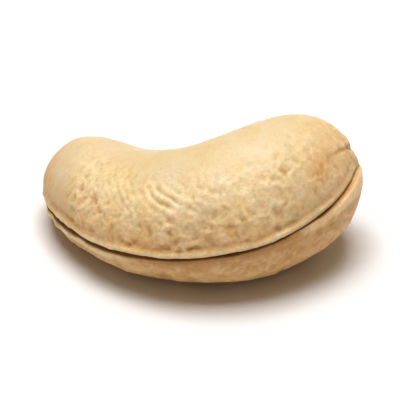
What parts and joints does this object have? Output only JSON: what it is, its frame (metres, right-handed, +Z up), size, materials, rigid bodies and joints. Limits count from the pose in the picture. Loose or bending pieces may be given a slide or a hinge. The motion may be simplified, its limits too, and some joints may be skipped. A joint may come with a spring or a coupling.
{
  "type": "shelled cashew kernel",
  "caption": "Peeled, roasted cashew kernel lying on its side: a bent seed with a slim and a broad end, split by a seam into upper and lower halves, its germ showing at the broad end",
  "frame": {"origin": "centre of the base of the bounding box, on the surface the kernel lies on", "axes": "+Z up across the seam, +X along the length towards the broad end, +Y from the rounded back towards the hollow of the bend"},
  "size_m": [0.0276, 0.0176, 0.0126],
  "materials": {
    "kernel_upper": "pale cream dry nut flesh, satin",
    "kernel_lower": "toasted cream dry nut flesh, satin",
    "germ_tan": "tan dry nut flesh, satin"
  },
  "bodies": {
    "root": {"cotyledon_upper": "kernel_upper", "cotyledon_lower": "kernel_lower", "radicle": "germ_tan"}
  },
  "joints": []
}
